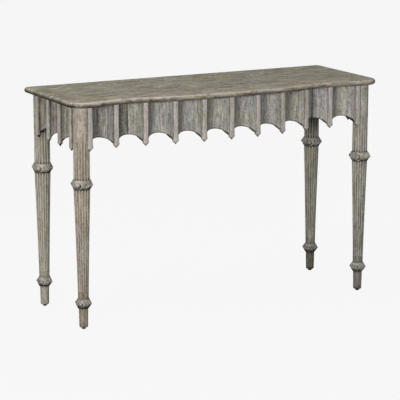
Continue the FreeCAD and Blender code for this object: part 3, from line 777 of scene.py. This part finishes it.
def cove_path(stations, depth, relief, sizes, first, last):
    """Plan of a coved apron from place first to last: fins at whole numbers, middles of coves at halves.

    Straight behind each fin, and between fins an arc of radius (h*h + d*d) / 2d for a chord 2h and a depth d.
    The lower edge rises over each chord as half an ellipse, and behind it is undercut: raised towards the top
    of the arch by the share relief. Gives front points, directions into the wood, heights of the lower edge
    in front and behind, distances from the nearest fin's edge, and points on the fin line.
    """
    places, headings = stations
    along = np.stack([np.cos(headings), np.sin(headings)], 1)
    into = np.stack([-np.sin(headings), np.cos(headings)], 1)
    half_fin = sizes.fin_flat / 2
    parts = []
    for i in range(len(places)):
        if first <= i <= last:
            offset = np.linspace(-half_fin, half_fin, FLAT_POINTS)[:, None]
            points = places[i] + along[i] * offset
            radial = np.repeat(into[i:i + 1], FLAT_POINTS, 0)
            lower = np.full(FLAT_POINTS, APRON_BOTTOM)
            relieved = lower + sizes.arch_rise * relief
            parts.append((points, radial, lower, relieved, np.zeros(FLAT_POINTS), points))
        if i + 1 < len(places) and i < last and i + 1 > first:
            a, b = places[i] + along[i] * half_fin, places[i + 1] - along[i + 1] * half_fin
            chord = b - a
            half = np.linalg.norm(chord) / 2
            run = chord / (2 * half)
            inward = np.array([-run[1], run[0]])
            radius = (half ** 2 + depth ** 2) / (2 * depth)
            reach = math.asin(half / radius)
            start = 0.0 if first > i else -reach
            stop = 0.0 if last < i + 1 else reach
            count = COVE_POINTS // 2 + 1 if start * stop == 0 else COVE_POINTS
            swing = np.linspace(start, stop, count)[:, None]
            radial = np.sin(swing) * run + np.cos(swing) * inward
            points = (a + b) / 2 - inward * (radius - depth) + radius * radial
            offset = radius * np.sin(swing)
            lower = APRON_BOTTOM + sizes.arch_rise * np.sqrt(np.clip(1 - (offset[:, 0] / half) ** 2, 0, 1))
            relieved = lower + (APRON_BOTTOM + sizes.arch_rise - lower) * relief
            gap = radius * (reach - np.abs(swing[:, 0]))
            parts.append((points, radial, lower, relieved, gap, (a + b) / 2 + run * offset))
    return [np.concatenate(group) for group in zip(*parts)]


def apron_piece(name, node, path, back, glaze, sizes, material):
    """Apron: coved face and plain back, each from the arched lower edge to the top, closed under and over.

    The rings stand across the apron, one at each point of its path: rounded edge, face, back, underside.
    """
    front, inwards, lower, relieved, gap = path
    arris = sizes.arris
    swing = np.linspace(np.pi / 2, 0, 4)
    rise = np.linspace(0, 1, 22)[1:]
    face_z = lower[:, None] + arris + rise * (FRAME_TOP - lower - arris)[:, None]
    edge_z = lower[:, None] + arris * (1 - np.sin(swing))
    edge = front[:, None] + inwards[:, None] * (arris * (1 - np.cos(swing)))[None, :, None]
    face = np.repeat(front[:, None], len(rise), 1)
    rear_rise = np.linspace(1, 0, 6)
    rear = np.repeat(back[:, None], len(rear_rise), 1)
    rear_z = relieved[:, None] + rear_rise * (FRAME_TOP - relieved)[:, None]
    heel = edge[:, 0]
    share = np.array([0.97, 0.5, 0.03])
    under = heel[:, None] + (back - heel)[:, None] * share[None, :, None]
    under_z = lower[:, None] + (relieved - lower)[:, None] * share
    plan = np.concatenate([edge, face, rear, under], 1)
    z = np.concatenate([edge_z, face_z, rear_z, under_z], 1)
    points = np.concatenate([plan, z[..., None]], 2)
    shown = np.repeat([1.0, 0.0, 0.0], [len(swing) + len(rise), len(rear_rise), len(share)])
    inside = np.repeat([0.0, 1.0, 0.0], [len(swing) + len(rise), len(rear_rise), len(share)])
    sawn = 1 - shown - inside
    run = np.concatenate([[0.0], np.cumsum(np.linalg.norm(np.diff(front, axis=0), axis=1))])
    seam = bell(run, 2 * MM) * (gap[0] > 0) + bell(run[-1] - run, 2 * MM) * (gap[-1] > 0)
    # Painted shade in the creases beside the fins, as strong as the section asks, joined with the dark joint
    # lines at the section ends.
    crease = np.maximum(bell(gap, 8 * MM) * glaze, seam)
    # Painted shadow of the lip along the top of the face.
    lip_shadow = bell(FRAME_TOP - z, 3 * MM) * 0.7
    # Painted shade along the arched lower edge of the face, and on the underside strip of the arch, which
    # turns black; the plain back is darkened almost fully, partly a dark stain and partly painted shade.
    arch_edge_shade = bell(z - lower[:, None], 2.6 * MM)
    recess = np.maximum(np.maximum(crease[:, None], lip_shadow), arch_edge_shade) * shown + sawn + 0.9 * inside
    rub = bell(z - lower[:, None] - 6 * MM, 4 * MM) * shown * 0.25
    make_piece(name, node, material, points, rub, recess)


# Legs and collars

def leg_profile(sizes):
    """Heights up a leg and its radius at each: rounded foot, ankle, seats of the collars, taper, column."""
    half = COLLAR_HEIGHT / 2
    low_seat, shaft_low = LOWER_COLLAR_Z - half, LOWER_COLLAR_Z + half
    shaft_high, high_seat = UPPER_COLLAR_Z - half, UPPER_COLLAR_Z + half
    foot, ankle = sizes.foot_bottom / 2, sizes.foot_top / 2
    low, high, column = sizes.shaft_bottom / 2, sizes.shaft_top / 2, sizes.column / 2
    ease = sizes.column_ease
    swing = np.linspace(0, np.pi / 2, 8)
    end_z = FOOT_Z + sizes.foot_round * (1 - np.cos(swing))
    end_r = foot - sizes.foot_round * (1 - np.sin(swing))
    share = np.linspace(0, 1, TAPER_POINTS)
    taper = low + (high - low) * share - 4 * sizes.shaft_hollow * share * (1 - share)
    flute_top = APRON_BOTTOM + sizes.flute_rise
    flute_turn = flute_top - sizes.flute_round
    upper_z = np.concatenate([np.linspace(high_seat, flute_turn, 24),
                              np.linspace(flute_turn, flute_top, 14)[1:],
                              np.linspace(flute_top, FRAME_TOP - ease, 12)[1:],
                              FRAME_TOP - ease * (1 - np.sin(swing[1:]))])
    z = np.concatenate([end_z, np.linspace(FOOT_Z + sizes.foot_round, low_seat, 8)[1:], [low_seat],
                        shaft_low + share * (shaft_high - shaft_low), [high_seat], upper_z])
    past = np.clip((upper_z - FRAME_TOP + ease) / ease, 0, 1)
    upper_r = column - ease * (1 - np.sqrt(1 - past ** 2))
    r = np.concatenate([end_r, np.linspace(foot, ankle, 8)[1:], [low], taper, [high], upper_r])
    return z, r


def leg_piece(name, node, corner, shades, sizes, material):
    """Leg: a turned profile, less round-bottomed flutes, with flats at the top for the aprons or the rail.

    A flute of radius f and depth d in a leg of radius R is a circle round a centre c = R + f - d from the
    axis, so at an angle a from its middle the surface is at c cos a - sqrt(f*f - (c sin a)^2).
    """
    z, base = leg_profile(sizes)
    steps = FLUTE_POINTS * sizes.flutes
    angle = np.arange(steps) * 2 * np.pi / steps
    half = COLLAR_HEIGHT / 2
    shaft_low, shaft_high = LOWER_COLLAR_Z + half, UPPER_COLLAR_Z - half
    flute_low, flute_top = shaft_low + sizes.flute_gap, APRON_BOTTOM + sizes.flute_rise
    share = np.clip((z - flute_low) / (shaft_high - flute_low), 0, 1)
    fade = np.clip((z - shaft_low - sizes.flute_start) / sizes.flute_fade, 0, 1) ** 0.7
    past = np.clip(z - flute_top + sizes.flute_round, 0, None) / sizes.flute_round
    end = np.sqrt(np.clip(1 - past ** 2, 0, 1))
    depth = (sizes.flute_end_depth + (sizes.flute_depth - sizes.flute_end_depth) * share) * fade * end
    hollow = sizes.flute_end_radius + (sizes.flute_radius - sizes.flute_end_radius) * share
    pitch = 2 * np.pi / sizes.flutes
    off = angle % pitch - pitch / 2
    centre = (base + hollow - depth)[:, None]
    inside = hollow[:, None] ** 2 - (centre * np.sin(off)) ** 2
    cut = np.where(inside > 0, centre * np.cos(off) - np.sqrt(np.maximum(inside, 0)), base[:, None])
    radius = np.minimum(base[:, None], cut)
    sunk = np.clip((base[:, None] - radius) / np.maximum(depth[:, None], 0.3 * MM), 0, 1)
    sunk = sunk * (depth[:, None] > 0.1 * MM)
    axis = middle(f"upper_collar_{corner}")
    inner_x = -math.copysign(1, axis.x)
    inner_y = -math.copysign(1, axis.y - (FRONT_LEG_Y + BACK_LEG_Y) / 2)
    x_flat_z = APRON_BOTTOM if corner.startswith("front") else BACK_RAIL_BOTTOM
    for toward, flat, bottom in ((inner_x * np.cos(angle), LEG_X - APRON_END_X, x_flat_z),
                                 (inner_y * np.sin(angle), SIDE_FLAT_Y, APRON_BOTTOM)):
        limit = np.where(toward > 0.05, flat / np.maximum(toward, 0.05), np.inf)
        radius = np.where((z > bottom)[:, None], np.minimum(radius, limit), radius)
    x = axis.x + radius * np.cos(angle)
    y = axis.y + radius * np.sin(angle)
    # Darker where the leg meets the collars, most in the flutes ending there: painted shade.
    seats = bell(z - UPPER_COLLAR_Z - half, 5 * MM) + bell(z - UPPER_COLLAR_Z + half, 4 * MM)
    seats = seats + bell(z - LOWER_COLLAR_Z - half, 4 * MM) + bell(z - LOWER_COLLAR_Z + half, 4 * MM)
    on_shaft, on_foot, on_column = shades
    # Painted shade: darker towards the lower collar on the shaft, darker on the foot, and darker up the
    # column of the back right leg under the apron; the floor end of the foot is darker as well.
    stain = on_shaft * np.clip((LOWER_COLLAR_Z + SHAFT_SHADE_HEIGHT - z) / SHAFT_SHADE_HEIGHT, 0, 1)
    stain = np.where(z < LOWER_COLLAR_Z, on_foot, stain)
    stain = stain + on_column * np.clip((z - UPPER_COLLAR_Z) / COLUMN_SHADE_HEIGHT, 0, 1)
    stain = stain + 0.4 * bell(z - FOOT_Z, 7 * MM)
    recess = sunk ** 1.5 * (0.34 * fade + 0.9 * seats)[:, None] + (0.25 * seats + stain)[:, None]
    rub = (1 - sunk) ** 3 * 0.5 * (depth > 0.4 * MM)[:, None]
    # Painted highlight on the rounded top of the column under the lip.
    rub = rub + 0.6 * bell(z - FRAME_TOP + 2 * MM, 3 * MM)[:, None]
    make_piece(name, node, material, lifted(x, y, z), rub, recess)


def collar_piece(name, node, reach, bore, surface, sizes, material):
    """Collar: the common part of a square and four wide cones with their points at its corners, with curls.

    A cone of slope k with its point at reach p and a tip t is (r s)^2 + z^2 = (k (p - r c) + t)^2 at an angle
    whose sine and cosine from the boss are s and c, solved for r. The carved curl is a groove whose radius
    grows with the angle round the boss, between a knob and a raised rim.
    """
    half = COLLAR_HEIGHT / 2
    slope = half / (reach - surface)
    angle = np.arange(COLLAR_POINTS) * 2 * np.pi / COLLAR_POINTS
    off = (angle % (np.pi / 2)) - np.pi / 4
    s, c = np.sin(off), np.cos(off)
    z = np.linspace(-half, half, COLLAR_RINGS)[:, None]
    reached = slope * reach + sizes.tip
    spread = np.maximum(reached ** 2 - z ** 2, 0)
    root = np.sqrt(np.maximum((slope * c * reached) ** 2 + (s ** 2 - (slope * c) ** 2) * spread, 0))
    flat = max(bore + sizes.wall, (reach + 2 * sizes.tip) * math.sqrt(0.5))
    square = flat / np.maximum(np.abs(np.cos(angle)), np.abs(np.sin(angle)))
    radius = np.minimum(spread / (slope * c * reached + root), square)
    size = reach / sizes.upper_reach
    across, out = radius * s, np.hypot(radius * s, z)
    turn = np.arctan2(across, z) / (2 * np.pi) % 1.0
    curl = (sizes.curl + sizes.curl_growth * turn) * size
    fall = 0.25 + 0.75 * np.clip(0.5 + 0.8 * np.cos(2 * np.pi * (turn - 0.34)), 0, 1)
    groove = bell(out - curl, sizes.groove_width * size) * fall
    rim = bell(out - curl - sizes.rim_offset * size, sizes.rim_width * size)
    rim = rim * (0.5 + 0.5 * np.cos(2 * np.pi * (turn - 0.15)))
    knob = bell(out, sizes.knob * size)
    plain_edge = np.clip((half - np.abs(z)) / (3 * MM), 0, 1)
    clear = np.clip(out / (6 * MM * size) - 1, 0, 1)
    level = z / np.maximum(out, MM)
    lines = np.broadcast_to(bell(half - np.abs(z), 2.2 * MM) * 0.78, out.shape)
    front_left = angle // (np.pi / 2) == 2
    less_shade = np.where(front_left & (out < 15 * MM * size), 0.4, 1.0)
    # Painted shade on the undersides of the bosses, with less of it near the middle of the front left boss,
    # which faces the light.
    under = np.clip(-level * 3 - 0.9, 0, 1) * np.clip(out / (2.5 * MM) - 1, 0, 1) * 0.95 * less_shade
    recess = np.maximum(np.maximum(groove, lines), under)
    # The rim and knob of the curl are paler; the upper faces are paler too, a painted highlight where light
    # falls from above.
    rub = np.maximum(np.maximum(rim, knob * 0.85), np.clip(level, 0, 1) * clear * 0.3)
    inside = bore + sizes.clearance
    radius = radius - (groove * sizes.groove - rim * sizes.rim) * size * plain_edge
    radius = np.pad(np.maximum(radius, inside + 0.2 * MM), ((1, 1), (0, 0)), constant_values=inside)
    axis = middle(node)
    x, y = axis.x + radius * np.cos(angle), axis.y + radius * np.sin(angle)
    points = lifted(x, y, axis.z + np.pad(z[:, 0], 1, mode="edge"))
    rub, recess = [np.pad(mask, ((1, 1), (0, 0))) for mask in (rub, recess)]
    make_piece(name, node, material, points, rub, recess, closed=True)


def rail_piece(name, node, material):
    """Rail: a rectangle with eased edges carried from end to end of its node's box."""
    low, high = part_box(node)
    corners = np.array([[(low.y, low.z), (high.y, low.z), (high.y, high.z), (low.y, high.z)]])
    ring = np.repeat(rounded(corners, 2 * MM), RAIL_RINGS, 0)
    x = np.broadcast_to(np.linspace(low.x, high.x, RAIL_RINGS)[:, None], ring.shape[:2])
    rub = bell(np.abs(ring[..., 1] - low.z), 3 * MM) * 0.4
    make_piece(name, node, material, np.concatenate([x[..., None], ring], 2), rub, 0.0)


# Studio

def seen_directly(tree):
    """One for what is seen straight, in gloss or through glass, and zero for light that bounces."""
    path = add_node(tree, "ShaderNodeLightPath").outputs
    seen = calculate(tree, "MAXIMUM", path["Is Camera Ray"], path["Is Glossy Ray"])
    return calculate(tree, "MAXIMUM", seen, path["Is Transmission Ray"])


def grey(level):
    """Grey of one level."""
    return level, level, level, 1.0


def pale_floor():
    """Wide pale floor that keeps a faint shadow: mostly its own pale colour, the rest lit by the lamps."""
    mesh = bpy.data.meshes.new("floor")
    corners = [(x * FLOOR_REACH, y * FLOOR_REACH, 0) for x, y in ((-1, -1), (1, -1), (1, 1), (-1, 1))]
    mesh.from_pydata(corners, [], [(0, 1, 2, 3)])
    floor = bpy.data.objects.new("floor", mesh)
    bpy.context.scene.collection.objects.link(floor)
    material = bpy.data.materials.new("pale_floor")
    material.use_nodes = True
    tree = material.node_tree
    tree.nodes.remove(tree.nodes["Principled BSDF"])
    lit = add_node(tree, "ShaderNodeBsdfDiffuse", Color=grey(FLOOR_SHADOW)).outputs[0]
    glow = add_node(tree, "ShaderNodeEmission", Color=grey(FLOOR_GLOW)).outputs[0]
    shown = add_node(tree, "ShaderNodeAddShader", i0=lit, i1=glow).outputs[0]
    bounce = add_node(tree, "ShaderNodeBsdfDiffuse", Color=grey(FLOOR_BOUNCE)).outputs[0]
    mixed = add_node(tree, "ShaderNodeMixShader", i0=seen_directly(tree), i1=bounce, i2=shown).outputs[0]
    tree.links.new(mixed, tree.nodes["Material Output"].inputs["Surface"])
    mesh.materials.append(material)


def pale_world(scene, ambient, behind):
    """Pale backdrop where it is seen. Where it lights the table, a strength that grows towards the back."""
    world = bpy.data.worlds.new("studio")
    world.use_nodes = True
    tree = world.node_tree
    shade = tree.nodes["Background"]
    shade.inputs["Color"].default_value = grey(1.0)
    toward = add_node(tree, "ShaderNodeTexCoord").outputs["Generated"]
    depth = add_node(tree, "ShaderNodeSeparateXYZ", Vector=toward).outputs["Y"]
    light = ramp(tree, depth, 0.0, 1.0, ambient, ambient * behind)
    strength = ramp(tree, seen_directly(tree), 0.0, 1.0, light, BACKDROP)
    tree.links.new(strength, shade.inputs["Strength"])
    scene.world = world


def softbox(name, strength, heading, height, distance, size):
    """Square lamp aimed at the middle of the table, with the power that gives the table a strength of light.

    It stands at a heading (0 is straight in front, negative to the left) and a height in degrees.
    """
    lamp = bpy.data.lights.new(name, "AREA")
    lamp.size = size
    lamp.energy = strength * math.pi * distance ** 2
    light = bpy.data.objects.new(name, lamp)
    turn, rise = math.radians(heading), math.radians(height)
    toward = np.array([math.sin(turn) * math.cos(rise), -math.cos(turn) * math.cos(rise), math.sin(rise)])
    light.location = np.array([0.0, 0.0, TABLE_HEIGHT / 2]) + distance * toward
    light.rotation_euler = (math.pi / 2 - rise, 0, turn)
    bpy.context.scene.collection.objects.link(light)


# Operators

class TableOperator:
    """Options shared by the table's operators."""
    bl_options = {"REGISTER", "UNDO"}


class PIER_TABLE_OT_top(TableOperator, Operator):
    """Lay the four boards of the serpentine top"""
    bl_idname = "pier_table.top"
    bl_label = "Top boards"

    def execute(self, context):
        table = context.scene.pier_table
        for i, tint in enumerate(BOARD_TINTS, 1):
            material = wood(f"weathered_top_{i}", table.finish, "top", tint)
            if i == 1:
                front_board("serpentine_board", table.top, material)
            else:
                plain_board(f"plain_board_{i}", f"top_board_{i}", table.top, material)
        return {"FINISHED"}


class PIER_TABLE_OT_aprons(TableOperator, Operator):
    """Carve the three sections of the front apron and the two side aprons"""
    bl_idname = "pier_table.aprons"
    bl_label = "Coved aprons"

    def execute(self, context):
        table = context.scene.pier_table
        sizes = table.apron
        stations = fin_stations(sizes)
        last = sizes.front_fins - 1
        joint = float(np.interp(SECTION_JOINT_X, stations["front"][0][:, 0], np.arange(sizes.front_fins)))
        sections = {"left": (0, last - joint), "centre": (last - joint, joint), "right": (joint, last)}
        for part, (first, end) in sections.items():
            material = wood(f"weathered_apron_{part}", table.finish, "apron", SECTION_TINTS_AND_LIGHT[part])
            *path, feet = cove_path(stations["front"], sizes.front_cove, sizes.front_relief, sizes, first,
                                    end)
            back = np.stack([feet[:, 0], front_line(feet[:, 0], sizes) + sizes.front_thickness], 1)
            apron_piece(f"coved_front_{part}", f"front_apron_{part}", path, back, SECTION_CREASE_SHADE[part], sizes,
                        material)
        material = wood("weathered_side", table.finish, "side", SIDE_TINT)
        last = sizes.side_fins - 1
        for side, sign in (("left", -1), ("right", 1)):
            *path, feet = cove_path(stations[side], sizes.side_cove, sizes.side_relief, sizes, 0, last)
            back = np.stack([np.full(len(feet), sign * SIDE_INNER_X), feet[:, 1]], 1)
            apron_piece(f"coved_side_{side}", f"side_apron_{side}", path, back, SIDE_CREASE_SHADE, sizes, material)
        return {"FINISHED"}


class PIER_TABLE_OT_fins(TableOperator, Operator):
    """Set the fins and their pendants on the front and sides"""
    bl_idname = "pier_table.fins"
    bl_label = "Fins"

    def execute(self, context):
        table = context.scene.pier_table
        rosy_wood = wood("weathered_fin_rosy", table.finish, "fin", ROSY_FIN_TINT)
        grey_wood = wood("weathered_fin_grey", table.finish, "fin", GREY_FIN_TINT)
        for side, (places, headings) in fin_stations(table.apron).items():
            for i, (place, heading) in enumerate(zip(places, headings), 1):
                material = rosy_wood if ROSY_FINS_X[0] < place[0] < ROSY_FINS_X[1] else grey_wood
                fin_piece(f"pendant_{side}_{i:02d}", f"{side}_fin_{i:02d}", place, heading, table.apron,
                          material)
        return {"FINISHED"}


class PIER_TABLE_OT_legs(TableOperator, Operator):
    """Turn and flute the four legs"""
    bl_idname = "pier_table.legs"
    bl_label = "Fluted legs"

    def execute(self, context):
        table = context.scene.pier_table
        for corner, tint, shades in zip(CORNERS, LEG_TINTS_AND_LIGHT, LEG_SHADES):
            material = wood(f"weathered_leg_{corner}", table.finish, "leg", tint)
            leg_piece(f"fluted_{corner}", f"leg_{corner}", corner, shades, table.leg, material)
        return {"FINISHED"}


class PIER_TABLE_OT_collars(TableOperator, Operator):
    """Carve the upper and lower collars"""
    bl_idname = "pier_table.collars"
    bl_label = "Bossed collars"

    def execute(self, context):
        table = context.scene.pier_table
        leg, sizes = table.leg, table.collar
        seat, top, bottom = max(leg.shaft_top, leg.column) / 2, leg.shaft_top / 2, leg.shaft_bottom / 2
        # The lower collars are darkened by a share, a painted shade lower down.
        levels = {"upper": (sizes.upper_reach, seat, top, 1.0),
                  "lower": (sizes.lower_reach, bottom, bottom, LOWER_COLLAR_SHADE)}
        for level, (reach, bore, surface, tone) in levels.items():
            for corner, tint in zip(CORNERS, COLLAR_TINTS_AND_LIGHT):
                material = wood(f"weathered_collar_{level}_{corner}", table.finish, "collar",
                                [tone * channel for channel in tint])
                collar_piece(f"boss_{level}_{corner}", f"{level}_collar_{corner}", reach, bore, surface,
                             sizes, material)
        return {"FINISHED"}


class PIER_TABLE_OT_frame(TableOperator, Operator):
    """Finish the back rail, the inner frame, its fixings and the glides"""
    bl_idname = "pier_table.frame"
    bl_label = "Inner frame and glides"

    def execute(self, context):
        finish = context.scene.pier_table.finish
        rail_piece("eased_back_rail", "back_rail", wood("weathered_rail", finish, "rail", RAIL_TINT))
        timber, steel = bare_timber("block_timber", finish), plated_steel("plated_screw")
        finishes = {
            "cross_rail": bare_timber("rail_timber", finish, crosswise=True),
            "corner_block_screws": steel,
            "corner_block": timber,
            "top_screws": steel,
            "dowels": timber,
            "foot_glides": black_glide("moulded_glide"),
        }
        for name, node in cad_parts.items():
            for start, material in finishes.items():
                if name.startswith(start):
                    for slot in node.material_slots:
                        slot.material = material
                    break
        return {"FINISHED"}


class PIER_TABLE_OT_stage(TableOperator, Operator):
    """Set up the pale floor, the soft light and the camera"""
    bl_idname = "pier_table.stage"
    bl_label = "Studio"

    def execute(self, context):
        scene = context.scene
        studio = scene.pier_table.studio
        scene.view_settings.view_transform = "Standard"
        pale_floor()
        pale_world(scene, studio.ambient, studio.behind)
        for name, (setting, heading, height, distance, size) in LAMPS.items():
            softbox(name, getattr(studio, setting), heading, height, distance, size)
        camera = bpy.data.cameras.new("camera")
        camera.lens, camera.sensor_width = studio.lens, SENSOR_WIDTH
        eye = bpy.data.objects.new("camera", camera)
        eye.location = studio.eye
        eye.rotation_euler = (math.pi / 2 - studio.tilt, 0, -studio.turn)
        scene.collection.objects.link(eye)
        scene.camera = eye
        return {"FINISHED"}


PIECES = ((PIER_TABLE_OT_top, "top"), (PIER_TABLE_OT_aprons, "apron"), (PIER_TABLE_OT_fins, "apron"),
          (PIER_TABLE_OT_legs, "leg"), (PIER_TABLE_OT_collars, "collar"), (PIER_TABLE_OT_frame, "finish"),
          (PIER_TABLE_OT_stage, "studio"))


class VIEW3D_PT_pier_table(Panel):
    """Lists the table's pieces and settings"""
    bl_label = "Pier Table"
    bl_space_type = "VIEW_3D"
    bl_region_type = "UI"
    bl_category = "Pier Table"

    def draw(self, context):
        table = context.scene.pier_table
        for operator, group in PIECES:
            self.layout.operator(operator.bl_idname)
            settings = getattr(table, group)
            for name in settings.__annotations__:
                self.layout.prop(settings, name)


CLASSES = (TopSizes, ApronSizes, LegSizes, CollarSizes, Finish, Studio, PierTable,
           *(operator for operator, _ in PIECES), VIEW3D_PT_pier_table)


def register():
    """Register the classes, and the settings on the scene."""
    for cls in CLASSES:
        bpy.utils.register_class(cls)
    bpy.types.Scene.pier_table = PointerProperty(type=PierTable)


def unregister():
    """Take the settings off the scene, and unregister the classes."""
    del bpy.types.Scene.pier_table
    for cls in reversed(CLASSES):
        bpy.utils.unregister_class(cls)


def main():
    """Make every piece and the stage."""
    register()
    for operator, _ in PIECES:
        space, name = operator.bl_idname.split(".")
        getattr(getattr(bpy.ops, space), name)()


if __name__ == "__main__":
    main()
